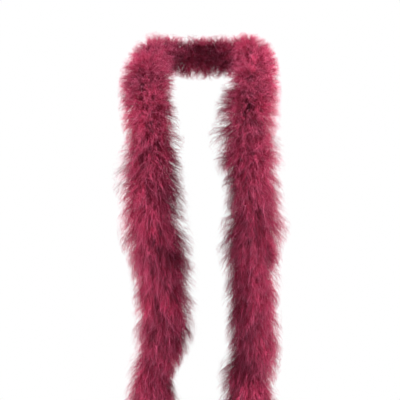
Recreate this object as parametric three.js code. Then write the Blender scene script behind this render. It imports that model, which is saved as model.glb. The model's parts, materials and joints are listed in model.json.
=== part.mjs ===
// A two-yard marabou feather boa, hung as it is worn: behind the neck, over both shoulders and down
// the front in two tails. Downy plumes are bound by their quills all along one cotton cord, so they
// stand out from it all the way round and make a soft, fat rope.
//
// Millimetres, +Z up, the wearer faces -Y. The origin is where the boa bears on the nape of the neck.
// The cord bends anywhere. Here it is nine rigid lengths that meet at eight hinges.
import * as THREE from 'three';

// The cord and what is bound on it.
const CORD_D = 3;
const THREAD_D = 0.8;
const GAP = 0.3;
const QUILL_WRAP_INNER_R = 3.6;
const QUILL_WRAP_OUTER_R = 6;
const PLUME_WALL = 4.5;
const PLUME_MARGIN = 4;
const CORD_SIDES = 8;
const THREAD_SIDES = 6;
const QUILL_WRAP_SIDES = 6;
const PLUME_SIDES = 12;

// Half the boa, from the nape to a tail's last plume, and what finishes each tail.
const HALF_LENGTH = 915;
const BINDING_SHORT_OF_END = 18;
const WHIPPING_LENGTH = 10;
const KNOT_R = 5;
const TASSEL_LENGTH = 22;
const TASSEL_R = 5;
const TIP_ROUNDING = 34;

// Where the hinges are, as distances along the cord from the nape, and how far each one bends.
const COLLAR_AT = 95;
const CHEST_AT = 260;
const WAIST_AT = 500;
const END_AT = 720;
const COLLAR_BEND = 30;
const CHEST_BEND = 60;
const WAIST_BEND = 25;
const END_BEND = 60;

// The cord's way from the tip of the right tail, over the nape, to the tip of the left tail, as
// x, y, z and the radius of the plumes there. Right and left are the wearer's.
const ROUTE = [
  [-68, -149, -770, 38],
  [-82, -148, -615, 43],
  [-83, -147, -548, 40],
  [-79, -146, -488, 37],
  [-66, -147, -438, 40],
  [-63, -151, -387, 41],
  [-67, -157, -337, 43],
  [-74, -162, -292, 45],
  [-82, -164, -252, 48],
  [-84, -157, -213, 48],
  [-86, -149, -173, 45],
  [-84, -142, -137, 40],
  [-88, -131, -102, 40],
  [-92, -112, -71, 38],
  [-93, -82, -40, 36],
  [-90, -47, -16, 33],
  [-83, -14, 1, 31],
  [-64, 12, 4, 31],
  [-35, 30, 2, 32],
  [0, 37, 0, 32],
  [35, 30, 2, 32],
  [63, 12, 4, 31],
  [79, -14, 0, 30],
  [83, -47, -20, 32],
  [78, -82, -48, 38],
  [74, -112, -79, 42],
  [69, -131, -110, 42],
  [66, -142, -141, 41],
  [73, -149, -173, 41],
  [76, -157, -210, 40],
  [79, -164, -249, 44],
  [74, -162, -289, 41],
  [76, -157, -337, 36],
  [74, -151, -383, 35],
  [76, -147, -433, 37],
  [73, -146, -483, 40],
  [68, -147, -523, 44],
  [72, -148, -585, 42],
  [77, -149, -665, 43],
  [78, -149, -770, 38],
];
const NAPE_POINT = ROUTE.findIndex(([x]) => x === 0);

// Samples between two route points, for lengths along the route and for its frames.
const FINENESS = 20;

const MATERIALS = {
  plume: new THREE.MeshStandardMaterial({ color: 0xa83c60, roughness: 0.95, metalness: 0 }),
  quill: new THREE.MeshStandardMaterial({ color: 0x7c2c4a, roughness: 0.6, metalness: 0 }),
  cord: new THREE.MeshStandardMaterial({ color: 0x7a2444, roughness: 0.9, metalness: 0 }),
  thread: new THREE.MeshStandardMaterial({ color: 0x5e1c36, roughness: 0.8, metalness: 0 }),
};

// ---- The route, read by distance from the nape: below 0 on the right, above 0 on the left ----

const route = new THREE.CatmullRomCurve3(
  ROUTE.map(([x, y, z]) => new THREE.Vector3(x, y, z)),
  false,
  'centripetal',
);
route.arcLengthDivisions = (ROUTE.length - 1) * FINENESS;
const lengths = route.getLengths();
const napeLength = lengths[NAPE_POINT * FINENESS];
const routeLength = route.getLength();
const frames = route.computeFrenetFrames(route.arcLengthDivisions);

// The place on the cord at a distance from the nape, with two directions square to the cord that
// never spin about it.
function placeAt(distance) {
  const along = (napeLength + distance) / routeLength;
  const tangent = route.getTangentAt(along);
  const sample = along * route.arcLengthDivisions;
  const before = Math.floor(sample);
  const normal = frames.normals[before].clone().lerp(frames.normals[before + 1], sample - before);
  normal.addScaledVector(tangent, -normal.dot(tangent)).normalize();
  const across = new THREE.Vector3().crossVectors(normal, tangent);
  return { point: route.getPointAt(along), normal, across };
}

// How far the plumes reach from the cord, eased between the route's points.
function plumeRadiusAt(distance) {
  const length = napeLength + distance;
  const after = ROUTE.findIndex((_, i) => lengths[i * FINENESS] > length);
  const start = lengths[(after - 1) * FINENESS];
  const share = (length - start) / (lengths[after * FINENESS] - start);
  return THREE.MathUtils.lerp(ROUTE[after - 1][3], ROUTE[after][3], THREE.MathUtils.smoothstep(share, 0, 1));
}

// ---- Shapes that follow the cord ----

// A stretch of the route as a curve of its own, or a line beside it at a fixed distance.
class Stretch extends THREE.Curve {
  constructor(from, to, aside = 0) {
    super();
    this.from = from;
    this.to = to;
    this.aside = aside;
  }

  getPoint(t, target = new THREE.Vector3()) {
    const place = placeAt(THREE.MathUtils.lerp(this.from, this.to, t));
    return target.copy(place.point).addScaledVector(place.normal, this.aside);
  }
}

function tube(path, diameter, sides, steps) {
  const section = new THREE.Shape();
  section.absarc(0, 0, diameter / 2, 0, 2 * Math.PI);
  // An arc gets two sides for each of its curve segments.
  return new THREE.ExtrudeGeometry(section, {
    extrudePath: path,
    steps,
    curveSegments: sides / 2,
    bevelEnabled: false,
  });
}

// A turned ring whose axis is laid along the cord. The profile is [radius, distance] pairs.
function bentRing(profile, sides) {
  const outline = profile.map(([radius, distance]) => new THREE.Vector2(radius, distance));
  outline.push(outline[0].clone());
  const geometry = new THREE.LatheGeometry(outline, sides);
  const position = geometry.getAttribute('position');
  for (let i = 0; i < position.count; i++) {
    const { point, normal, across } = placeAt(position.getY(i));
    point.addScaledVector(normal, position.getX(i)).addScaledVector(across, position.getZ(i));
    position.setXYZ(i, point.x, point.y, point.z);
  }
  geometry.deleteAttribute('normal');
  geometry.deleteAttribute('uv');
  return geometry;
}

function evenly(from, to, steps) {
  return Array.from({ length: steps + 1 }, (_, i) => from + ((to - from) * i) / steps);
}

// ---- The rigid lengths ----

// What a piece of this radius keeps clear of a hinge's centre, so that its end meets its
// neighbour's end only at the full bend.
function endClearance(bend, radius) {
  return GAP + radius * Math.tan(THREE.MathUtils.degToRad(bend / 2));
}

const boa = new THREE.Group();

function addMesh(name, geometry, material) {
  const mesh = new THREE.Mesh(geometry, material);
  mesh.name = name;
  boa.add(mesh);
}

// A soft sleeve through these [radius, distance] pairs. It has a thin wall, because plumes weigh next
// to nothing for the room they take.
function sleeve(outer) {
  const inner = outer.map(([radius, s]) => [radius - PLUME_WALL, s]);
  return bentRing([...outer, ...inner.reverse()], PLUME_SIDES);
}

function plumeClearance(bend, distance) {
  return endClearance(bend, plumeRadiusAt(distance) + PLUME_MARGIN);
}

// The plumes of one length, cut back at each hinge.
function plumeSleeve(from, to, fromBend, toBend, steps) {
  const stations = evenly(from + plumeClearance(fromBend, from), to - plumeClearance(toBend, to), steps);
  return sleeve(stations.map((s) => [plumeRadiusAt(s), s]));
}

// A tail's last plumes, which round in to the tip.
function tipSleeve(side, from, to, fromBend, steps) {
  const stations = evenly(from + plumeClearance(fromBend, side * from), to, steps);
  const outer = stations.map((s) => {
    const intoTip = Math.max(0, (s - (to - TIP_ROUNDING)) / TIP_ROUNDING);
    const rounded = Math.sqrt(1 - 0.8 * intoTip * intoTip);
    return [plumeRadiusAt(side * s) * rounded, side * s];
  });
  return sleeve(side > 0 ? outer : outer.reverse());
}

function quillWrap(from, to, fromBend, toBend, steps) {
  const start = from + endClearance(fromBend, QUILL_WRAP_OUTER_R);
  const end = to - endClearance(toBend, QUILL_WRAP_OUTER_R);
  const stations = evenly(start, end, steps);
  const outer = stations.map((s) => [QUILL_WRAP_OUTER_R, s]);
  const inner = stations.map((s) => [QUILL_WRAP_INNER_R, s]);
  return bentRing([...outer, ...inner.reverse()], QUILL_WRAP_SIDES);
}

// The core cord, the thread that binds the quills to it, the bound quills and the plumes of one
// rigid length. A bend of 0 marks the end that has no hinge.
function addLength(name, from, to, fromBend, toBend, steps, plumes) {
  const threadAside = CORD_D / 2 + GAP + THREAD_D / 2;
  const threadReach = threadAside + THREAD_D / 2;
  const cordEnds = [from + endClearance(fromBend, CORD_D / 2), to - endClearance(toBend, CORD_D / 2)];
  const cord = new Stretch(...cordEnds);
  addMesh('core_cord_' + name, tube(cord, CORD_D, CORD_SIDES, steps), MATERIALS.cord);
  const bound = {
    from: fromBend ? from : from + BINDING_SHORT_OF_END,
    to: toBend ? to : to - BINDING_SHORT_OF_END,
  };
  const threadFrom = bound.from + endClearance(fromBend, threadReach);
  const threadTo = bound.to - endClearance(toBend, threadReach);
  const thread = new Stretch(threadFrom, threadTo, threadAside);
  addMesh('binding_thread_' + name, tube(thread, THREAD_D, THREAD_SIDES, steps), MATERIALS.thread);
  const quills = quillWrap(bound.from, bound.to, fromBend, toBend, steps);
  addMesh('quills_' + name, quills, MATERIALS.quill);
  addMesh('plumes_' + name, plumes, MATERIALS.plume);
}

const napePlumes = plumeSleeve(-COLLAR_AT, COLLAR_AT, COLLAR_BEND, COLLAR_BEND, 10);
addLength('nape', -COLLAR_AT, COLLAR_AT, COLLAR_BEND, COLLAR_BEND, 10, napePlumes);

const LENGTHS_BELOW_NAPE = [
  ['shoulder', COLLAR_AT, CHEST_AT, COLLAR_BEND, CHEST_BEND, 7],
  ['chest', CHEST_AT, WAIST_AT, CHEST_BEND, WAIST_BEND, 9],
  ['waist', WAIST_AT, END_AT, WAIST_BEND, END_BEND, 8],
];
const END_STEPS = 7;

// The whipping that stops the bound quills from slipping off, the knot and the frayed cord ends.
function addTailFinish(sideName, side) {
  const whippingStart = HALF_LENGTH - BINDING_SHORT_OF_END + GAP;
  const whippingEnd = whippingStart + WHIPPING_LENGTH;
  const innerR = CORD_D / 2 + GAP;
  const outerR = innerR + 2 * THREAD_D;
  const ring = [
    [outerR, whippingStart],
    [outerR, whippingEnd],
    [innerR, whippingEnd],
    [innerR, whippingStart],
  ].map(([radius, s]) => [radius, side * s]);
  const whipping = bentRing(side > 0 ? ring : ring.reverse(), CORD_SIDES);
  addMesh('end_whipping_' + sideName, whipping, MATERIALS.thread);

  const knotTop = placeAt(side * HALF_LENGTH);
  const down = route.getTangentAt((napeLength + side * HALF_LENGTH) / routeLength).multiplyScalar(side);
  const upright = new THREE.Group();
  upright.position.copy(knotTop.point);
  upright.quaternion.setFromUnitVectors(new THREE.Vector3(0, -1, 0), down);
  boa.add(upright);

  const knot = new THREE.Mesh(new THREE.SphereGeometry(KNOT_R, 10, 8), MATERIALS.cord);
  knot.name = 'end_knot_' + sideName;
  knot.scale.y = 0.9;
  knot.position.y = -(KNOT_R * 0.9 + GAP);
  upright.add(knot);

  const tasselTop = 2 * KNOT_R * 0.9 + 2 * GAP;
  const tasselShape = new THREE.CylinderGeometry(CORD_D / 2, TASSEL_R, TASSEL_LENGTH, CORD_SIDES);
  const tassel = new THREE.Mesh(tasselShape, MATERIALS.cord);
  tassel.name = 'end_tassel_' + sideName;
  tassel.position.y = -(tasselTop + TASSEL_LENGTH / 2);
  upright.add(tassel);
}

for (const [sideName, side] of [['right', -1], ['left', 1]]) {
  for (const [part, near, far, nearBend, farBend, steps] of LENGTHS_BELOW_NAPE) {
    const ends = side > 0 ? [near, far, nearBend, farBend] : [-far, -near, farBend, nearBend];
    addLength(sideName + '_' + part, ...ends, steps, plumeSleeve(...ends, steps));
  }
  const tip = tipSleeve(side, END_AT, HALF_LENGTH, END_BEND, END_STEPS);
  const ends = side > 0 ? [END_AT, HALF_LENGTH, END_BEND, 0] : [-HALF_LENGTH, -END_AT, 0, END_BEND];
  addLength(sideName + '_end', ...ends, END_STEPS, tip);
  addTailFinish(sideName, side);
}

export default boa;
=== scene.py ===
import json
import math

import bpy
import numpy as np
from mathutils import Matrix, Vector


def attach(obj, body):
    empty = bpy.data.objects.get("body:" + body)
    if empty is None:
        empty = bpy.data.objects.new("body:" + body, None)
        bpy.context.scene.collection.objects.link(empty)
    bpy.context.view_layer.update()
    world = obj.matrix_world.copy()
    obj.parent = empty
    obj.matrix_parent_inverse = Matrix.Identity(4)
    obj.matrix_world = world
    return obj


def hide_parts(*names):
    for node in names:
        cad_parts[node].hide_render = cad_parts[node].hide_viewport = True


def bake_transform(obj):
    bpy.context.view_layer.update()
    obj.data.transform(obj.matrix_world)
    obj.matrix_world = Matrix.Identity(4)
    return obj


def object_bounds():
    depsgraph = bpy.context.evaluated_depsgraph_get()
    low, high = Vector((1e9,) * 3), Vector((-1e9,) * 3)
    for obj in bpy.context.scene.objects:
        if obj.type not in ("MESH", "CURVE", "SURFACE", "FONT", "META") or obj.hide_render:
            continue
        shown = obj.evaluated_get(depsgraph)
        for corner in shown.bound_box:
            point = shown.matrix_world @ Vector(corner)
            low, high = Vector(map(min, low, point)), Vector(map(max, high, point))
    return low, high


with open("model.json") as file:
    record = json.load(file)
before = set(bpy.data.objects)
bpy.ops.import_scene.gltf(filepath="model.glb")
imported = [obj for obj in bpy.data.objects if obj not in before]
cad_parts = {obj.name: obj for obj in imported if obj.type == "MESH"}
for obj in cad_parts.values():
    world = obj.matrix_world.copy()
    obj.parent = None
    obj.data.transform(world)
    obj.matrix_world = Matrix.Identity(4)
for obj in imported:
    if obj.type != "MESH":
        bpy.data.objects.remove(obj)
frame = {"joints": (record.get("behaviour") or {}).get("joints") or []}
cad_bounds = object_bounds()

# ---- Core cord -----------------------------------------------------------------------------------
# A plied cotton cord, 3 mm thick and dyed with the plumes. It runs through the whole boa and carries
# it, and every plume is bound to it by its quill. Its nine lengths bend at the eight hinges.

CORD_DIAMETER = 0.003
PLIES = 3
PLY_PITCH = 0.014
CORD_STEP = CORD_DIAMETER / 2

# The section's mean radius and how far each ply bulges from it, both in cord diameters.
MEAN_RADIUS = 0.43
PLY_BULGE = 0.07

# The cord's way from the right tail's tip, over the nape, to the left tail's tip: x, y, z and how far
# the plumes reach from it, in metres. Right and left are the wearer's.
ROUTE = (
    (-0.068, -0.149, -0.770, 0.038),
    (-0.082, -0.148, -0.615, 0.043),
    (-0.083, -0.147, -0.548, 0.040),
    (-0.079, -0.146, -0.488, 0.030),
    (-0.066, -0.147, -0.438, 0.035),
    (-0.063, -0.151, -0.387, 0.042),
    (-0.067, -0.157, -0.337, 0.043),
    (-0.074, -0.162, -0.292, 0.045),
    (-0.082, -0.164, -0.252, 0.048),
    (-0.084, -0.157, -0.213, 0.048),
    (-0.086, -0.149, -0.173, 0.047),
    (-0.084, -0.142, -0.137, 0.040),
    (-0.088, -0.131, -0.102, 0.036),
    (-0.092, -0.112, -0.071, 0.038),
    (-0.093, -0.082, -0.040, 0.036),
    (-0.090, -0.047, -0.016, 0.033),
    (-0.083, -0.014, 0.001, 0.031),
    (-0.064, 0.012, 0.004, 0.031),
    (-0.035, 0.030, 0.002, 0.032),
    (0.0, 0.037, 0.0, 0.032),
    (0.035, 0.030, 0.002, 0.032),
    (0.063, 0.012, 0.004, 0.031),
    (0.079, -0.014, 0.0, 0.030),
    (0.083, -0.047, -0.020, 0.032),
    (0.078, -0.082, -0.048, 0.038),
    (0.074, -0.112, -0.079, 0.042),
    (0.069, -0.131, -0.110, 0.046),
    (0.066, -0.142, -0.141, 0.048),
    (0.073, -0.149, -0.173, 0.041),
    (0.076, -0.157, -0.210, 0.040),
    (0.079, -0.164, -0.249, 0.045),
    (0.074, -0.162, -0.289, 0.041),
    (0.076, -0.157, -0.337, 0.036),
    (0.074, -0.151, -0.383, 0.035),
    (0.076, -0.147, -0.433, 0.037),
    (0.073, -0.146, -0.483, 0.040),
    (0.068, -0.147, -0.523, 0.044),
    (0.072, -0.148, -0.585, 0.042),
    (0.077, -0.149, -0.665, 0.043),
    (0.078, -0.149, -0.770, 0.038),
)
NAPE_POINT = 19
SAMPLES_EACH = 20

# Distances along the cord from the nape: the hinges, and the last plume.
COLLAR, CHEST, WAIST, END, TIP = 0.095, 0.260, 0.500, 0.720, 0.915


def between(a, b, t_a, t_b, t):
    return a + (b - a) * (t - t_a) / (t_b - t_a)


def spline_through(points, samples_each):
    """Places along the centripetal spline through the points."""
    p = np.array(points)
    p = np.vstack([2 * p[0] - p[1], p, 2 * p[-1] - p[-2]])
    found = []
    for a, b, c, d in zip(p, p[1:], p[2:], p[3:]):
        gaps = [np.linalg.norm((v - u)[:3]) ** 0.5 for u, v in ((a, b), (b, c), (c, d))]
        t0, t1, t2, t3 = np.cumsum([0, *gaps])
        for t in np.linspace(t1, t2, samples_each, endpoint=False):
            ab, bc, cd = between(a, b, t0, t1, t), between(b, c, t1, t2, t), between(c, d, t2, t3, t)
            found.append(between(between(ab, bc, t0, t2, t), between(bc, cd, t1, t3, t), t1, t2, t))
    return np.array([*found, p[-2]])


places = spline_through(ROUTE, SAMPLES_EACH)
run = np.concatenate([[0], np.cumsum(np.linalg.norm(np.diff(places[:, :3], axis=0), axis=1))])
run -= run[NAPE_POINT * SAMPLES_EACH]


def places_between(start, end, spacing=0.003):
    """Even places on the cord from one distance to another: x, y, z, the plumes' reach and the
    distance from the nape."""
    steps = max(2, round(abs(end - start) / spacing))
    at = np.linspace(start, end, steps + 1)
    return np.column_stack([np.interp(at, run, places[:, k]) for k in range(4)] + [abs(at)])


class Flow:
    """A number or a vector in a node tree. Plain arithmetic on it adds the nodes that work it out."""

    def __init__(self, tree, socket):
        self.tree = tree
        self.socket = socket

    def _math(self, operation, left, right):
        vectors = [isinstance(v, tuple) or getattr(v, "is_vector", False) for v in (left, right)]
        if not any(vectors):
            return self.tree.add("ShaderNodeMath", {"operation": operation}, {0: left, 1: right})
        if operation == "MULTIPLY" and not all(vectors):
            vector, number = (left, right) if vectors[0] else (right, left)
            return self.tree.add(
                "ShaderNodeVectorMath", {"operation": "SCALE"}, {0: vector, "Scale": number}
            )
        return self.tree.add("ShaderNodeVectorMath", {"operation": operation}, {0: left, 1: right})

    @property
    def is_vector(self):
        return self.socket.type == "VECTOR"

    def __add__(self, other):
        return self._math("ADD", self, other)

    __radd__ = __add__

    def __sub__(self, other):
        return self._math("SUBTRACT", self, other)

    def __rsub__(self, other):
        return self._math("SUBTRACT", other, self)

    def __mul__(self, other):
        return self._math("MULTIPLY", self, other)

    __rmul__ = __mul__

    def __truediv__(self, other):
        return self._math("DIVIDE", self, other)

    def __pow__(self, other):
        return self._math("POWER", self, other)


class Tree:
    """Adds nodes to a node tree, in one call for each node."""

    def __init__(self, node_tree):
        self.node_tree = node_tree

    def add(self, kind, settings=None, sockets=None, out=None):
        """A new node with its settings, then its sockets' values or links. Gives its output."""
        node = self.node_tree.nodes.new(kind)
        for name, setting in (settings or {}).items():
            setattr(node, name, setting)
        for name, value in (sockets or {}).items():
            socket = node.inputs[name]
            if isinstance(name, str) and not socket.enabled:
                socket = next(s for s in node.inputs if s.name == name and s.enabled)
            if isinstance(value, Flow):
                self.node_tree.links.new(value.socket, socket)
            else:
                socket.default_value = value
        outputs = [s for s in node.outputs if s.enabled and out in (None, s.name)]
        return Flow(self, outputs[0]) if outputs else node

    def field(self, name, data_type="FLOAT"):
        return self.add("GeometryNodeInputNamedAttribute", {"data_type": data_type}, {"Name": name})

    def store(self, geometry, name, value, data_type="FLOAT", domain="POINT"):
        return self.add(
            "GeometryNodeStoreNamedAttribute",
            {"data_type": data_type, "domain": domain},
            {"Geometry": geometry, "Name": name, "Value": value},
        )

    def random(self, low, high, salt, same_for=None):
        """A random number or vector for each point, or for all the points with the same number."""
        data_type = "FLOAT_VECTOR" if isinstance(low, tuple) else "FLOAT"
        sockets = {"Min": low, "Max": high, "Seed": self.inputs["Seed"] + salt}
        if same_for:
            sockets["ID"] = same_for
        return self.add("FunctionNodeRandomValue", {"data_type": data_type}, sockets)


def geometry_tree(name, *inputs):
    """A tree that turns a line along the cord into a piece. Each input is a name and a socket kind."""
    node_tree = bpy.data.node_groups.new(name, "GeometryNodeTree")
    node_tree.interface.new_socket("Line", in_out="INPUT", socket_type="NodeSocketGeometry")
    for label, kind in inputs:
        node_tree.interface.new_socket(label, in_out="INPUT", socket_type="NodeSocket" + kind)
    node_tree.interface.new_socket("Piece", in_out="OUTPUT", socket_type="NodeSocketGeometry")
    tree = Tree(node_tree)
    entry = node_tree.nodes.new("NodeGroupInput")
    tree.inputs = {s.name: Flow(tree, s) for s in entry.outputs if s.name}
    return tree


def finish_tree(tree, geometry):
    """Makes real geometry of the tree's copies, smooths it, gives it its material and ends the tree."""
    realized = tree.add("GeometryNodeRealizeInstances", {}, {"Geometry": geometry})
    smooth = tree.add("GeometryNodeSetShadeSmooth", {}, {"Geometry": realized})
    sockets = {"Geometry": smooth, "Material": tree.inputs["Material"]}
    done = tree.add("GeometryNodeSetMaterial", {}, sockets)
    tree.add("NodeGroupOutput", {}, {"Piece": done})
    return tree.node_tree


def grow(name, node_tree, spots, sizes):
    """The plain mesh that a tree makes along a row of places."""
    line = bpy.data.meshes.new(name)
    line.from_pydata(spots[:, :3].tolist(), [(i, i + 1) for i in range(len(spots) - 1)], [])
    for label, values in zip(("reach", "from_nape"), spots.T[3:]):
        line.attributes.new(label, "FLOAT", "POINT").data.foreach_set("value", values)
    piece = bpy.data.objects.new(name, line)
    bpy.context.scene.collection.objects.link(piece)
    modifier = piece.modifiers.new("Grow", "NODES")
    modifier.node_group = node_tree
    for item in node_tree.interface.items_tree:
        if item.name in sizes:
            modifier[item.identifier] = sizes[item.name]
    evaluated = piece.evaluated_get(bpy.context.evaluated_depsgraph_get())
    piece.data = bpy.data.meshes.new_from_object(evaluated)
    piece.modifiers.clear()
    return piece


# Every length of the boa with the distances it spans, which are negative on the right.
SIDES = (("right", -1), ("left", 1))
LENGTHS = {"nape": (-COLLAR, COLLAR)}
for side_name, side in SIDES:
    for part, near, far in (
        ("shoulder", COLLAR, CHEST),
        ("chest", CHEST, WAIST),
        ("waist", WAIST, END),
        ("end", END, TIP),
    ):
        LENGTHS[side_name + "_" + part] = (side * near, side * far)


def linear(red, green, blue):
    """A dye's colour, given as screen values up to 255, as the renderer takes it."""
    return tuple(((c / 255 + 0.055) / 1.055) ** 2.4 for c in (red, green, blue)) + (1,)


def new_material(name):
    """A material with an empty Principled surface, and the tree that its nodes are added to."""
    material = bpy.data.materials.new(name)
    material.use_nodes = True
    tree = Tree(material.node_tree)
    tree.surface = material.node_tree.nodes["Principled BSDF"]
    return material, tree


def feed(tree, name, value):
    tree.node_tree.links.new(value.socket, tree.surface.inputs[name])


def dyed_cotton():
    """Burgundy cotton, paler where the dye took less."""
    material, tree = new_material("dyed cotton")
    where = tree.add("ShaderNodeTexCoord", out="Object")
    blotch = tree.add("ShaderNodeTexNoise", {}, {"Vector": where, "Scale": 900, "Detail": 3})
    stops = tree.add("ShaderNodeValToRGB", {}, {"Fac": blotch})
    ramp = stops.socket.node.color_ramp
    ramp.elements[0].position, ramp.elements[0].color = 0.3, linear(92, 28, 52)
    ramp.elements[1].position, ramp.elements[1].color = 0.7, linear(142, 52, 84)
    feed(tree, "Base Color", stops)
    feed(tree, "Roughness", 0.75 + 0.2 * blotch)
    tree.surface.inputs["Sheen Weight"].default_value = 0.3
    return material


COTTON = dyed_cotton()


def plied_cord_tree():
    """Plies twisted together: a section with a lobe for each ply, which turns as it goes."""
    tree = geometry_tree(
        "Plied cord",
        ("Diameter", "Float"),
        ("Pitch", "Float"),
        ("Step", "Float"),
        ("Material", "Material"),
    )
    line = tree.add("GeometryNodeMeshToCurve", {}, {"Mesh": tree.inputs["Line"]})
    fine = tree.add(
        "GeometryNodeResampleCurve", {"mode": "LENGTH"}, {"Curve": line, "Length": tree.inputs["Step"]}
    )
    length = tree.add("GeometryNodeSplineParameter", out="Length")
    turned = tree.add(
        "GeometryNodeSetCurveTilt", {}, {"Curve": fine, "Tilt": length / tree.inputs["Pitch"] * math.tau}
    )
    circle = tree.add("GeometryNodeCurvePrimitiveCircle", {}, {"Resolution": 12})
    around = tree.add("GeometryNodeInputPosition")
    sides = tree.add("ShaderNodeSeparateXYZ", {}, {"Vector": around})
    y = Flow(tree, sides.socket.node.outputs["Y"])
    angle = tree.add("ShaderNodeMath", {"operation": "ARCTAN2"}, {0: y, 1: sides})
    lobe = tree.add("ShaderNodeMath", {"operation": "COSINE"}, {0: angle * PLIES})
    lobed = around * (tree.inputs["Diameter"] * (MEAN_RADIUS + PLY_BULGE * lobe))
    section = tree.add("GeometryNodeSetPosition", {}, {"Geometry": circle, "Position": lobed})
    cord = tree.add(
        "GeometryNodeCurveToMesh", {}, {"Curve": turned, "Profile Curve": section, "Fill Caps": True}
    )
    return finish_tree(tree, cord)


PLIED_CORD = plied_cord_tree()
cord_sizes = {"Diameter": CORD_DIAMETER, "Pitch": PLY_PITCH, "Step": CORD_STEP, "Material": COTTON}


def declare_cord(body):
    start, end = LENGTHS[body]
    path = places_between(start, end)[:, :3]


for body, (start, end) in LENGTHS.items():
    cord = grow("plied_cord_" + body, PLIED_CORD, places_between(start, end), cord_sizes)
    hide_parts("core_cord_" + body)
    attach(cord, body)
    if not body.endswith("end"):
        declare_cord(body)

# ---- Binding thread ------------------------------------------------------------------------------
# A strong thread wound round the cord in a close spiral. It is what holds each plume's quill, and it
# is drawn tight enough to bed into the quills.

THREAD_DIAMETER = 0.0006
THREAD_PITCH = 0.006
THREAD_WINDING_RADIUS = 0.0036
STEPS_A_TURN = 9
BINDING_SHORT_OF_TIP = 0.018


def wound_thread_tree():
    """A spiral round the line, made into a round thread."""
    tree = geometry_tree(
        "Wound thread",
        ("Diameter", "Float"),
        ("Pitch", "Float"),
        ("Winding radius", "Float"),
        ("Material", "Material"),
    )
    line = tree.add("GeometryNodeMeshToCurve", {}, {"Mesh": tree.inputs["Line"]})
    step = tree.inputs["Pitch"] / STEPS_A_TURN
    fine = tree.add("GeometryNodeResampleCurve", {"mode": "LENGTH"}, {"Curve": line, "Length": step})
    length = tree.add("GeometryNodeSplineParameter", out="Length")
    out = tree.add(
        "ShaderNodeVectorRotate",
        {},
        {
            "Vector": tree.add("GeometryNodeInputNormal"),
            "Axis": tree.add("GeometryNodeInputTangent"),
            "Angle": length / tree.inputs["Pitch"] * math.tau,
        },
    )
    spiral = tree.add(
        "GeometryNodeSetPosition", {}, {"Geometry": fine, "Offset": out * tree.inputs["Winding radius"]}
    )
    section = tree.add(
        "GeometryNodeCurvePrimitiveCircle", {}, {"Resolution": 5, "Radius": tree.inputs["Diameter"] / 2}
    )
    thread = tree.add(
        "GeometryNodeCurveToMesh", {}, {"Curve": spiral, "Profile Curve": section, "Fill Caps": True}
    )
    return finish_tree(tree, thread)


WOUND_THREAD = wound_thread_tree()
thread_sizes = {
    "Diameter": THREAD_DIAMETER,
    "Pitch": THREAD_PITCH,
    "Winding radius": THREAD_WINDING_RADIUS,
    "Material": COTTON,
}
for body, (start, end) in LENGTHS.items():
    if body.endswith("end"):
        end -= math.copysign(BINDING_SHORT_OF_TIP, end)
    thread = grow("wound_thread_" + body, WOUND_THREAD, places_between(start, end), thread_sizes)
    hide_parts("binding_thread_" + body)
    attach(thread, body)

# ---- Quill butts ---------------------------------------------------------------------------------
# The bare ends of the plumes' quills, laid along the cord and bound on side by side all round it.
# They are horn, half clear, and took the dye less than the down did.

QUILL_SPACING = 0.0024
QUILL_LENGTH = 0.022
QUILL_RADIUS = 0.0006
QUILL_TAPER = 0.55
QUILL_STANDOFF = CORD_DIAMETER / 2 + QUILL_RADIUS * 1.4
QUILL_LEAN = 0.06
MOST_ASKEW = 0.4
GOLDEN_TURN = math.tau * (1 - 2 / (1 + 5**0.5))


def horn():
    """Dyed horn: smooth and a little glossy, with faint long streaks."""
    material, tree = new_material("quill horn")
    where = tree.add("ShaderNodeTexCoord", out="Object")
    streak = tree.add("ShaderNodeTexNoise", {}, {"Vector": where, "Scale": 400, "Detail": 2})
    stops = tree.add("ShaderNodeValToRGB", {}, {"Fac": streak})
    ramp = stops.socket.node.color_ramp
    ramp.elements[0].position, ramp.elements[0].color = 0.3, linear(110, 36, 62)
    ramp.elements[1].position, ramp.elements[1].color = 0.75, linear(170, 92, 112)
    feed(tree, "Base Color", stops)
    feed(tree, "Roughness", 0.35 + 0.2 * streak)
    return material


HORN = horn()


def bound_quills_tree():
    """Tapered rods laid along the line, each a golden turn on from the last."""
    tree = geometry_tree(
        "Bound quills",
        ("Count", "Int"),
        ("Length", "Float"),
        ("Radius", "Float"),
        ("Standoff", "Float"),
        ("Seed", "Int"),
        ("Material", "Material"),
    )
    line = tree.add("GeometryNodeMeshToCurve", {}, {"Mesh": tree.inputs["Line"]})
    points = tree.add("GeometryNodeCurveToPoints", {}, {"Curve": line, "Count": tree.inputs["Count"]})
    spot = points.socket.node
    tangent, normal = Flow(tree, spot.outputs["Tangent"]), Flow(tree, spot.outputs["Normal"])
    turn = tree.add("GeometryNodeInputIndex") * GOLDEN_TURN + tree.random(-MOST_ASKEW, MOST_ASKEW, 1)
    out = tree.add("ShaderNodeVectorRotate", {}, {"Vector": normal, "Axis": tangent, "Angle": turn})
    # A rod is placed by its thick end, so it is put back by half its length.
    aside = out * tree.inputs["Standoff"] - tangent * (tree.inputs["Length"] / 2)
    beside = tree.add("GeometryNodeSetPosition", {}, {"Geometry": points, "Offset": aside})
    quill = tree.add(
        "GeometryNodeMeshCone",
        {},
        {
            "Vertices": 5,
            "Radius Top": tree.inputs["Radius"] * QUILL_TAPER,
            "Radius Bottom": tree.inputs["Radius"],
            "Depth": tree.inputs["Length"],
        },
    )
    leaning = {"Vector": tangent + out * QUILL_LEAN}
    along = tree.add("FunctionNodeAlignRotationToVector", {"axis": "Z"}, leaning)
    laid = tree.add(
        "GeometryNodeInstanceOnPoints", {}, {"Points": beside, "Instance": quill, "Rotation": along}
    )
    return finish_tree(tree, laid)


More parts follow.
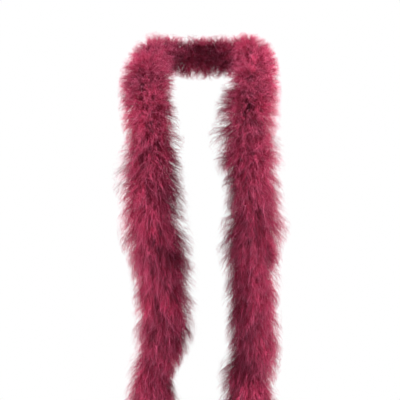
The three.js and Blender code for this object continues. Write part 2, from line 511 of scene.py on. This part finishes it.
BOUND_QUILLS = bound_quills_tree()
for number, (body, (start, end)) in enumerate(LENGTHS.items()):
    # A quill butt lies on past its plume, so the first and last stop short of the hinges. The last
    # of all end under the whipping.
    if body.endswith("end"):
        end -= math.copysign(BINDING_SHORT_OF_TIP / 2, end)
    inset = math.copysign(QUILL_LENGTH / 2, end - start)
    quill_sizes = {
        "Count": round((abs(end - start) - QUILL_LENGTH) / QUILL_SPACING),
        "Length": QUILL_LENGTH,
        "Radius": QUILL_RADIUS,
        "Standoff": QUILL_STANDOFF,
        "Seed": number,
        "Material": HORN,
    }
    spots = places_between(start + inset, end - inset)
    quills = grow("bound_quills_" + body, BOUND_QUILLS, spots, quill_sizes)
    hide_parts("quills_" + body)
    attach(quills, body)

# ---- Whippings -----------------------------------------------------------------------------------
# At each tip the same thread is wound in close turns over the last quill butts, so that they can't
# slip off the cord.

WHIPPING_START = TIP - 0.0177
WHIPPING_END = TIP - 0.0077
WHIPPING_PITCH = THREAD_DIAMETER * 0.95

whipping_sizes = dict(thread_sizes, Pitch=WHIPPING_PITCH)
for side_name, side in SIDES:
    spots = places_between(side * WHIPPING_START, side * WHIPPING_END)
    whipping = grow("thread_whipping_" + side_name, WOUND_THREAD, spots, whipping_sizes)
    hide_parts("end_whipping_" + side_name)
    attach(whipping, side_name + "_end")

# ---- Knots ---------------------------------------------------------------------------------------
# Each end of the cord is tied in a double overhand knot: it goes down through the middle, round
# itself twice on the way up, and down through the middle again.

KNOT_HEIGHT = 0.0093
KNOT_TURN_RADIUS = 0.0033
KNOT_TURNS = 2.3
KNOT_STRAND_OFFSET = 0.0009
KNOT_STEP = 0.0006


def tip_axes(side):
    """The end of the cord, the way it points there, and two directions across it."""
    before, tip = (Vector(p) for p in places_between(side * (TIP - CORD_DIAMETER), side * TIP)[[0, -1], :3])
    along = (tip - before).normalized()
    across = along.cross(Vector((0, 1, 0))).normalized()
    return tip, along, across, along.cross(across)


def knot_path(side):
    """The strand's way through the knot, as a radius, an angle and a height at each point."""
    tip, along, across, forward = tip_axes(side)
    strand = [(KNOT_STRAND_OFFSET, 0.0, h) for h in np.linspace(0, KNOT_HEIGHT * 0.7, 5)]
    for t in np.linspace(0, 1, 40):
        angle = math.tau * KNOT_TURNS * t
        strand.append((KNOT_TURN_RADIUS, angle, KNOT_HEIGHT * (0.8 - 0.6 * t)))
    strand += [(-KNOT_STRAND_OFFSET, 0.0, h) for h in np.linspace(KNOT_HEIGHT * 0.3, KNOT_HEIGHT, 5)]
    spots = [
        tip + along * h + (across * math.cos(a) + forward * math.sin(a)) * r for r, a, h in strand
    ]
    return spline_through([tuple(spot) for spot in spots], 4)


knot_sizes = dict(cord_sizes, Step=KNOT_STEP)
for side_name, side in SIDES:
    knot = grow("overhand_knot_" + side_name, PLIED_CORD, knot_path(side), knot_sizes)
    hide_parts("end_knot_" + side_name)
    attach(knot, side_name + "_end")

# ---- Tassels -------------------------------------------------------------------------------------
# Below each knot the cord's plies are combed out into fine cotton strands, which spread and curl a
# little and end unevenly.

TASSEL_LENGTH = 0.022
TASSEL_RADIUS = 0.0048
TASSEL_STRANDS = 54
STRAND_RADIUS = 0.00024
SHORTEST_STRAND = 0.72
STRAND_CURL = 0.006

# The strands' first and last points, measured from the cord's tip: they start inside the knot.
STRAND_START = KNOT_HEIGHT - 0.0005
STRAND_END = KNOT_HEIGHT + TASSEL_LENGTH - 0.0003


def frayed_strands_tree():
    """Copies of the line that spread out from its start, each in its own way."""
    tree = geometry_tree(
        "Frayed strands",
        ("Strands", "Int"),
        ("Root radius", "Float"),
        ("Spread", "Float"),
        ("Strand radius", "Float"),
        ("Seed", "Int"),
        ("Material", "Material"),
    )
    size = tree.inputs
    line = tree.add("GeometryNodeMeshToCurve", {}, {"Mesh": size["Line"]})
    starts = tree.add("GeometryNodeMeshLine", {}, {"Count": size["Strands"], "Offset": (0, 0, 0)})
    starts = tree.store(starts, "strand", tree.add("GeometryNodeInputIndex"))
    copies = tree.add("GeometryNodeInstanceOnPoints", {}, {"Points": starts, "Instance": line})
    strands = tree.add("GeometryNodeRealizeInstances", {}, {"Geometry": copies})
    strand = tree.field("strand")
    cut = tree.random(SHORTEST_STRAND, 1.0, 1, strand)
    strands = tree.add("GeometryNodeTrimCurve", {}, {"Curve": strands, "End": cut})
    down_strand = tree.add("GeometryNodeSplineParameter", out="Factor")
    angle = strand * GOLDEN_TURN
    turned = {
        "X": tree.add("ShaderNodeMath", {"operation": "COSINE"}, {0: angle}),
        "Y": tree.add("ShaderNodeMath", {"operation": "SINE"}, {0: angle}),
    }
    out = tree.add("ShaderNodeCombineXYZ", {}, turned) * (tree.random(0.02, 1, 2, strand) ** 0.5)
    place = tree.add("GeometryNodeInputPosition")
    wave = {"Vector": place, "W": strand * 3.7, "Scale": 170, "Detail": 1}
    wave = tree.add("ShaderNodeTexNoise", {"noise_dimensions": "4D"}, wave, "Color")
    curl = (wave - (0.5, 0.5, 0.5)) * (down_strand * STRAND_CURL)
    spread = size["Root radius"] + size["Spread"] * down_strand
    aside = out * spread + curl
    strands = tree.add("GeometryNodeSetPosition", {}, {"Geometry": strands, "Offset": aside})
    section = tree.add(
        "GeometryNodeCurvePrimitiveCircle", {}, {"Resolution": 4, "Radius": size["Strand radius"]}
    )
    tassel = tree.add(
        "GeometryNodeCurveToMesh", {}, {"Curve": strands, "Profile Curve": section, "Fill Caps": True}
    )
    tassel = tree.add("GeometryNodeRemoveAttribute", {}, {"Geometry": tassel, "Name": "strand"})
    return finish_tree(tree, tassel)


FRAYED_STRANDS = frayed_strands_tree()
for number, (side_name, side) in enumerate(SIDES):
    tip, along, _, _ = tip_axes(side)
    spots = np.array([tip + along * step for step in np.linspace(STRAND_START, STRAND_END, 12)])
    tassel_sizes = {
        "Strands": TASSEL_STRANDS,
        "Root radius": CORD_DIAMETER * 0.42,
        "Spread": TASSEL_RADIUS - CORD_DIAMETER / 2,
        "Strand radius": STRAND_RADIUS,
        "Seed": number,
        "Material": COTTON,
    }
    tassel = grow("frayed_tassel_" + side_name, FRAYED_STRANDS, spots, tassel_sizes)
    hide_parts("end_tassel_" + side_name)
    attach(tassel, side_name + "_end")
    body = side_name + "_end"
    declare_cord(body)

# ---- Plumes --------------------------------------------------------------------------------------
# Marabou: short downy plumes whose soft shafts carry long loose barbs on every side. They stand out
# from the cord all the way round, crowd into tufts, and hang over under their own weight.

PLUME_SPACING = 0.0013
BARBS_PER_PLUME = 26
BARBULES_PER_BARB = 9
BARB_RADIUS = 0.00029
BARBULE_RADIUS = 0.00024
SPIKE_SIDES = 3
JOINT_OVERLAP = 0.045

# A shaft's length as a share of the plumes' reach, and a barb's as a share of its shaft.
SHAFT_LENGTH = 0.68
BARB_LENGTH = 1.16

# How far plumes lean with their tuft, hang down the tails and, on the nape, stand up instead.
TUFT = 2.3
SAG = 1.3
NAPE_LIFT = 0.2

# Distances from the nape: where tufting sets in and is full, and where plumes start to hang.
TUFT_FROM, TUFT_FULL = 0.05, 0.16
HANG_FROM = 0.06

# The length at each tip over which the plumes get shorter and hang less.
TIP_FADE = 0.07

# How many tufts and swellings there are to a metre, and how many waves in the barbs.
PATCH_SCALE, SWELL_SCALE, WAVE_SCALE = 30, 21, 120

# The angles that barbs leave their shaft at, in radians.
LEAST_SPREAD, MOST_SPREAD = 0.2, 1.25

# A barbule's length as a share of its barb, how far up the barb the last one springs, and how
# loosely they all point.
LEAST_SHARE, MOST_SHARE = 0.2, 0.44
LAST_BARBULE = 0.82
FLUFF = 0.26

# How much longer the longest wisps are, and how rare: the higher the power, the fewer.
WISP_EXTRA, WISP_POWER = 0.55, 7.0

# How far wisps pass the plumes' reach, how much further hanging ones go along the cord, and how
# softly that limit holds.
WISP_LIMIT = 0.0135
HANGING_EXTRA = 0.028
LIMIT_SOFTNESS = 0.01

# The colour from root to tip, in the darkest barbs and in the brightest: the dye, darkened at the root as
# painted shade deep in the down and paled at the tip as painted light through the thin ends.
DARK_DYE_AND_PAINTED_LIGHT = ((0.0, (54, 4, 22)), (0.4, (92, 6, 36)), (0.75, (120, 16, 54)), (1.0, (168, 74, 108)))
BRIGHT_DYE_AND_PAINTED_LIGHT = ((0.0, (108, 8, 38)), (0.4, (186, 24, 70)), (0.75, (206, 46, 96)), (1.0, (230, 124, 156)))


def down_dye_and_painted_light():
    """Raspberry down with painted light. Each barb is darkest at the root, as painted shade deep in the
    down, rich along its length, and pale at the tip, as painted light through its thin end. No two barbs
    take the dye alike, and larger patches are lighter or darker, partly dye and partly painted light and
    shade of the tufts. Its map holds the barb's shade across and root to tip upwards."""
    material, tree = new_material("down dye and painted light")
    here = tree.add("ShaderNodeUVMap", {"uv_map": "OFBake"})
    shade = tree.add("ShaderNodeSeparateXYZ", {}, {"Vector": here})
    along = Flow(tree, shade.socket.node.outputs["Y"])
    dye_and_light_ramps = []
    # Each ramp holds the dye with painted shade at the root and painted light at the tip.
    for stops in (DARK_DYE_AND_PAINTED_LIGHT, BRIGHT_DYE_AND_PAINTED_LIGHT):
        dye = tree.add("ShaderNodeValToRGB", {}, {"Fac": along})
        ramp = dye.socket.node.color_ramp
        for position, colour in stops[1:-1]:
            ramp.elements.new(position).color = linear(*colour)
        ramp.elements[0].color, ramp.elements[-1].color = linear(*stops[0][1]), linear(*stops[-1][1])
        dye_and_light_ramps.append(dye)
    sockets = {"Factor": shade, "A": dye_and_light_ramps[0], "B": dye_and_light_ramps[1]}
    colour = tree.add("ShaderNodeMix", {"data_type": "RGBA"}, sockets)
    feed(tree, "Base Color", colour)
    feed(tree, "Roughness", 0.7 + 0.2 * shade)
    tree.surface.inputs["Sheen Weight"].default_value = 0.25
    tree.surface.inputs["Sheen Roughness"].default_value = 0.4
    tree.surface.inputs["Sheen Tint"].default_value = linear(232, 130, 166)
    tree.surface.inputs["Specular IOR Level"].default_value = 0.3
    return material


DOWN_DYE_AND_PAINTED_LIGHT = down_dye_and_painted_light()


def plumes_tree():
    """Shafts that spring from the line all round it, barbs all along each shaft, and barbules all
    along each barb."""
    tree = geometry_tree(
        "Plumes",
        ("Plumes", "Int"),
        ("Barbs", "Int"),
        ("Barbules", "Int"),
        ("Shaft length", "Float"),
        ("Barb length", "Float"),
        ("Barb radius", "Float"),
        ("Barbule radius", "Float"),
        ("Fluff", "Float"),
        ("Sag", "Float"),
        ("Tuft", "Float"),
        ("Wisp limit", "Float"),
        ("Seed", "Int"),
        ("Material", "Material"),
    )
    size = tree.inputs

    def math_node(operation, *values):
        return tree.add("ShaderNodeMath", {"operation": operation}, dict(enumerate(values)))

    def vector(operation, *values, out=None):
        return tree.add("ShaderNodeVectorMath", {"operation": operation}, dict(enumerate(values)), out)

    def down(distance):
        return tree.add("ShaderNodeCombineXYZ", {}, {"Z": distance * -1})

    def smooth_rise(value, low, high):
        sockets = {"Value": value, "From Min": low, "From Max": high}
        return tree.add("ShaderNodeMapRange", {"interpolation_type": "SMOOTHSTEP"}, sockets)

    # Where each plume springs from the cord, and which way it grows. Those on the nape and the
    # shoulders stand out, and those on the tails hang, but are shorter and hang less at the tips.
    line = tree.add("GeometryNodeMeshToCurve", {}, {"Mesh": size["Line"]})
    points = tree.add("GeometryNodeCurveToPoints", {}, {"Curve": line, "Count": size["Plumes"]})
    spot = points.socket.node
    tangent, normal = Flow(tree, spot.outputs["Tangent"]), Flow(tree, spot.outputs["Normal"])
    index = tree.add("GeometryNodeInputIndex")
    turn = index * GOLDEN_TURN + tree.random(-0.5, 0.5, 1)
    out = tree.add("ShaderNodeVectorRotate", {}, {"Vector": normal, "Axis": tangent, "Angle": turn})
    home = tree.add("GeometryNodeInputPosition")
    from_nape = tree.field("from_nape")
    at_end = smooth_rise(from_nape, TIP - TIP_FADE, TIP)
    hang = smooth_rise(from_nape, HANG_FROM, WAIST) * (1 + NAPE_LIFT) - NAPE_LIFT
    hang = hang * (1 - 0.6 * at_end)
    sockets = {"Vector": home + out * 0.03, "Scale": PATCH_SCALE, "Detail": 1}
    patch = tree.add("ShaderNodeTexNoise", {}, sockets)
    drift = Flow(tree, patch.socket.node.outputs["Color"]) - (0.5, 0.5, 0.5)
    sockets = {"Vector": home + out * 0.04, "Scale": SWELL_SCALE, "Detail": 2}
    swell = tree.add("ShaderNodeTexNoise", {}, sockets)
    wander = tree.random((-1, -1, -1), (1, 1, 1), 2)
    tufted = drift * (size["Tuft"] * (0.45 + 0.55 * smooth_rise(from_nape, TUFT_FROM, TUFT_FULL)))
    leaning = vector("NORMALIZE", out + tufted + wander * 0.2)
    points = tree.store(points, "home", home, "FLOAT_VECTOR")
    points = tree.store(points, "tangent", tangent, "FLOAT_VECTOR")
    points = tree.store(points, "way", leaning + down(size["Sag"] * hang), "FLOAT_VECTOR")
    shaft = tree.field("reach") * (0.3 + 1.35 * swell) * tree.random(0.85, 1.1, 3) * (1 - 0.35 * at_end)
    points = tree.store(points, "shaft", shaft)
    points = tree.store(points, "hang", hang)
    points = tree.store(points, "plume", index)
    # A plume's patch of lighter or darker down: partly dye, partly painted light and shade of the tufts.
    points = tree.store(points, "patch", smooth_rise(patch, 0.35, 0.65))

    # The roots of the barbs, numbered along the shaft, which bows down towards its tip. Each barb's
    # root comes first, and then its barbules' roots, up along the barb.
    each = size["Barbules"] + 1
    string = tree.add("GeometryNodeMeshLine", {}, {"Count": size["Barbs"] * each, "Offset": (0, 0, 0)})
    string = tree.store(string, "barb", math_node("FLOOR", (index + 0.5) / each))
    up_barb = math_node("FLOORED_MODULO", index, each) / each * LAST_BARBULE
    string = tree.store(string, "up_barb", up_barb)
    strung = tree.add("GeometryNodeInstanceOnPoints", {}, {"Points": points, "Instance": string})
    roots = tree.add("GeometryNodeRealizeInstances", {}, {"Geometry": strung})
    way, home = tree.field("way", "FLOAT_VECTOR"), tree.field("home", "FLOAT_VECTOR")
    hang, shaft, plume = tree.field("hang"), tree.field("shaft"), tree.field("plume")
    up_barb = tree.field("up_barb")
    up_shaft = (tree.field("barb") + 0.5) / size["Barbs"]
    barb = plume * size["Barbs"] + tree.field("barb")
    climb = shaft * size["Shaft length"] * up_shaft
    barb_root = home + way * climb + down(climb * up_shaft * 0.3)

    # Which way each barb leaves its shaft, and how long it is. A few are much longer than the rest
    # and make the loose wisps.
    any_way = tree.random((-1, -1, -1), (1, 1, 1), 4, barb)
    spread = tree.random(LEAST_SPREAD, MOST_SPREAD, 5, barb)
    spread = spread * (1.15 - 0.3 * up_shaft) * (1.05 - 0.22 * hang)
    straight = vector("NORMALIZE", way)
    across = vector("NORMALIZE", vector("CROSS_PRODUCT", straight, any_way))
    barb_way = straight * math_node("COSINE", spread) + across * math_node("SINE", spread)
    wisp = tree.random(0, 1, 7, barb) ** WISP_POWER * WISP_EXTRA
    longer = tree.random(0.5, 1.1, 6, barb) + wisp
    length = size["Barb length"] * shaft * longer * (1.1 - 0.3 * up_shaft)
    is_stem = math_node("LESS_THAN", up_barb, 0.01)
    is_barbule = 1 - is_stem
    share = is_stem + is_barbule * tree.random(LEAST_SHARE, MOST_SHARE, 8)
    fluff = tree.random((-1, -1, -1), (1, 1, 1), 9) * (size["Fluff"] * is_barbule)
    # A barb's shade: its plume's patch, lighter or darker partly by dye and partly as painted light and
    # shade of the tufts, then random dye for each plume, each barb and each barbule.
    shade = tree.field("patch") * 0.38 + tree.random(0, 0.24, 10, plume)
    shade = shade + tree.random(0, 0.22, 11, barb) + tree.random(0, 0.1, 12)
    roots = tree.store(roots, "barb_root", barb_root, "FLOAT_VECTOR")
    roots = tree.store(roots, "spike_way", barb_way + fluff, "FLOAT_VECTOR")
    roots = tree.store(roots, "length", length)
    roots = tree.store(roots, "share", share)
    roots = tree.store(roots, "shade", shade)
    place = barb_root + barb_way * (length * up_barb)
    roots = tree.add("GeometryNodeSetPosition", {}, {"Geometry": roots, "Position": place})

    # Barbs and barbules are fine closed spikes, one unit long until they are placed. A barb is three
    # lengths that bend where they meet, and a barbule is too short to bend.
    spike_way = {"Vector": tree.field("spike_way", "FLOAT_VECTOR")}
    turned = tree.add("FunctionNodeAlignRotationToVector", {"axis": "Z"}, spike_way)
    down_parts = tree.add("GeometryNodeJoinGeometry")
    for chosen, segments, radius in (
        (is_stem, 3, size["Barb radius"]),
        (is_barbule, 1, size["Barbule radius"]),
    ):
        spike = tree.add(
            "GeometryNodeMeshCone",
            {},
            {"Vertices": SPIKE_SIDES, "Side Segments": segments, "Radius Bottom": 1.0, "Depth": 1.0},
        )
        corner = tree.add("ShaderNodeSeparateXYZ", {}, {"Vector": tree.add("GeometryNodeInputPosition")})
        spike = tree.store(spike, "along", Flow(tree, corner.socket.node.outputs["Z"]))
        spike = tree.store(spike, "edge", math_node("MODULO", index, SPIKE_SIDES))
        scale = {"X": radius, "Y": radius, "Z": tree.field("length") * tree.field("share")}
        sockets = {"Points": roots, "Selection": chosen, "Instance": spike, "Rotation": turned}
        sockets["Scale"] = tree.add("ShaderNodeCombineXYZ", {}, scale)
        placed = tree.add("GeometryNodeInstanceOnPoints", {}, sockets)
        tree.node_tree.links.new(placed.socket, down_parts.socket.node.inputs[0])
    barbules = tree.add("GeometryNodeRealizeInstances", {}, {"Geometry": down_parts})

    # Each barb droops and waves, with all its barbules. None strays past the limit from the cord, or
    # far along it except where the plumes hang.
    along, length = tree.field("along"), tree.field("length")
    up_barb = tree.field("up_barb") + tree.field("share") * along
    barb_root = tree.field("barb_root", "FLOAT_VECTOR")
    where = {"Vector": barb_root, "W": up_barb * 1.1, "Scale": WAVE_SCALE, "Detail": 1}
    wave = tree.add("ShaderNodeTexNoise", {"noise_dimensions": "4D"}, where, "Color")
    droop = down(length * up_barb * up_barb * (0.25 + 0.35 * hang))
    sway = (wave - (0.5, 0.5, 0.5)) * (length * up_barb * 1.1)
    tangent = tree.field("tangent", "FLOAT_VECTOR")
    whole = tree.add("GeometryNodeInputPosition") + droop + sway - home
    lengthwise = tangent * vector("DOT_PRODUCT", whole, tangent, out="Value")
    sideways = whole - lengthwise
    limit = tree.field("reach") + size["Wisp limit"]
    stray = vector("LENGTH", sideways, out="Value")
    whole = lengthwise + sideways * (math_node("SMOOTH_MIN", stray, limit, LIMIT_SOFTNESS) / stray)
    stray = vector("LENGTH", whole, out="Value")
    limit = limit + HANGING_EXTRA * hang
    whole = whole * (math_node("SMOOTH_MIN", stray, limit, LIMIT_SOFTNESS) / stray)
    barbules = tree.add("GeometryNodeSetPosition", {}, {"Geometry": barbules, "Position": home + whole})

    # The map's height up the barb places the painted shade at its root and the painted light at its tip.
    shade_map = {"X": tree.field("shade") + tree.field("edge") * 0.02, "Y": up_barb}
    shade_map = tree.add("ShaderNodeCombineXYZ", {}, shade_map)
    barbules = tree.store(barbules, "OFBake", shade_map, "FLOAT2", "CORNER")
    for name in (
        *("reach", "from_nape", "home", "tangent", "way", "shaft", "hang", "plume", "patch"),
        *("barb", "up_barb", "barb_root", "spike_way", "length", "share", "shade", "along", "edge"),
    ):
        barbules = tree.add("GeometryNodeRemoveAttribute", {}, {"Geometry": barbules, "Name": name})
    return finish_tree(tree, barbules)


PLUMES = plumes_tree()


def grow_plumes(name, start, end, seed):
    plumes = grow(
        name,
        PLUMES,
        places_between(start, end),
        {
            "Plumes": round(abs(end - start) / PLUME_SPACING),
            "Barbs": BARBS_PER_PLUME,
            "Barbules": BARBULES_PER_BARB,
            "Shaft length": SHAFT_LENGTH,
            "Barb length": BARB_LENGTH,
            "Barb radius": BARB_RADIUS,
            "Barbule radius": BARBULE_RADIUS,
            "Fluff": FLUFF,
            "Sag": SAG,
            "Tuft": TUFT,
            "Wisp limit": WISP_LIMIT,
            "Seed": seed,
            "Material": DOWN_DYE_AND_PAINTED_LIGHT,
        },
    )
    return plumes


# The plumes that keep clear of the hinges ride on their own length.
for number, (body, (start, end)) in enumerate(LENGTHS.items()):
    inset = math.copysign(JOINT_OVERLAP, end - start)
    plumes = grow_plumes("down_" + body, start + inset, end if abs(end) == TIP else end - inset, number)
    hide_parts("plumes_" + body)
    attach(plumes, body)

# The plumes round each hinge are grown across it, from one length to the next.
for number, joint in enumerate(frame["joints"]):
    start, end = LENGTHS[joint["child"]]
    inset = math.copysign(JOINT_OVERLAP, end - start)
    plumes = grow_plumes("down_at_" + joint["name"], start - inset, start + inset, len(LENGTHS) + number)
    ends = places_between(start - inset, start + inset)[[0, -1], :3]
    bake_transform(plumes)

# ---- Studio --------------------------------------------------------------------------------------
# A white room: a pale round floor below the tails, a soft light on each side, a weak one in front,
# and a level camera that looks straight at the tails.

VIEW_WIDTH = 0.634
VIEW_CENTRE = Vector((-0.007, -0.150, -0.2425))
CAMERA_DISTANCE = 2.4
SENSOR_WIDTH = 36
FLOOR_DROP = 0.06
FLOOR_RADIUS = 2.6
FLOOR_SIDES = 96
FLOOR_FORWARD = 0.9
FLOOR_GREY = 0.35
FLOOR_GLOW = 0.85
ROOM_LIGHT = 0.19
SIDE_LIGHT_SIZE, SIDE_LIGHT_POWER = 0.6, 84
FRONT_LIGHT_SIZE, FRONT_LIGHT_POWER = 1.2, 11

lens = bpy.data.cameras.new("camera")
lens.sensor_width = SENSOR_WIDTH
lens.lens = SENSOR_WIDTH * CAMERA_DISTANCE / VIEW_WIDTH
camera = bpy.data.objects.new("camera", lens)
bpy.context.scene.collection.objects.link(camera)
camera.location = VIEW_CENTRE + Vector((0, -CAMERA_DISTANCE, 0))
camera.rotation_euler = (math.pi / 2, 0, 0)
bpy.context.scene.camera = camera

floor_mesh = bpy.data.meshes.new("floor")
rim = [math.tau * k / FLOOR_SIDES for k in range(FLOOR_SIDES)]
floor_z = cad_bounds[0][2] - FLOOR_DROP
floor_mesh.from_pydata(
    [(FLOOR_RADIUS * math.cos(a), FLOOR_RADIUS * math.sin(a) - FLOOR_FORWARD, floor_z) for a in rim],
    [],
    [range(FLOOR_SIDES)],
)
floor = bpy.data.objects.new("floor", floor_mesh)
bpy.context.scene.collection.objects.link(floor)

# The floor glows, so that it looks as white as the room whatever the lights throw on it.
floor_paint, floor_tree = new_material("floor paint")
floor_tree.surface.inputs["Base Color"].default_value = (FLOOR_GREY, FLOOR_GREY, FLOOR_GREY, 1)
floor_tree.surface.inputs["Roughness"].default_value = 0.9
floor_tree.surface.inputs["Emission Color"].default_value = (1, 1, 1, 1)
floor_tree.surface.inputs["Emission Strength"].default_value = FLOOR_GLOW
floor_mesh.materials.append(floor_paint)

# The room is white to look at, and throws back less light than that.
world = bpy.data.worlds.new("white room")
world.use_nodes = True
room = Tree(world.node_tree)
seen = room.add("ShaderNodeLightPath", out="Is Camera Ray")
strength = seen * (1 - ROOM_LIGHT) + ROOM_LIGHT
background = world.node_tree.nodes["Background"]
background.inputs["Color"].default_value = (1, 1, 1, 1)
world.node_tree.links.new(strength.socket, background.inputs["Strength"])
bpy.context.scene.world = world
bpy.context.scene.view_settings.view_transform = "Standard"


def soft_light(name, place, aim, size, power):
    lamp = bpy.data.lights.new(name, "AREA")
    lamp.size = size
    lamp.energy = power
    light = bpy.data.objects.new(name, lamp)
    bpy.context.scene.collection.objects.link(light)
    light.location = place
    light.rotation_euler = (Vector(aim) - Vector(place)).to_track_quat("-Z", "Y").to_euler()


for side_name, side in SIDES:
    place, aim = (side * 1.6, -0.2, 0.3), (side * 0.08, -0.12, -0.25)
    soft_light(side_name + " side light", place, aim, SIDE_LIGHT_SIZE, SIDE_LIGHT_POWER)
soft_light("front light", (0.0, -2.2, 1.2), (0.0, -0.12, -0.3), FRONT_LIGHT_SIZE, FRONT_LIGHT_POWER)
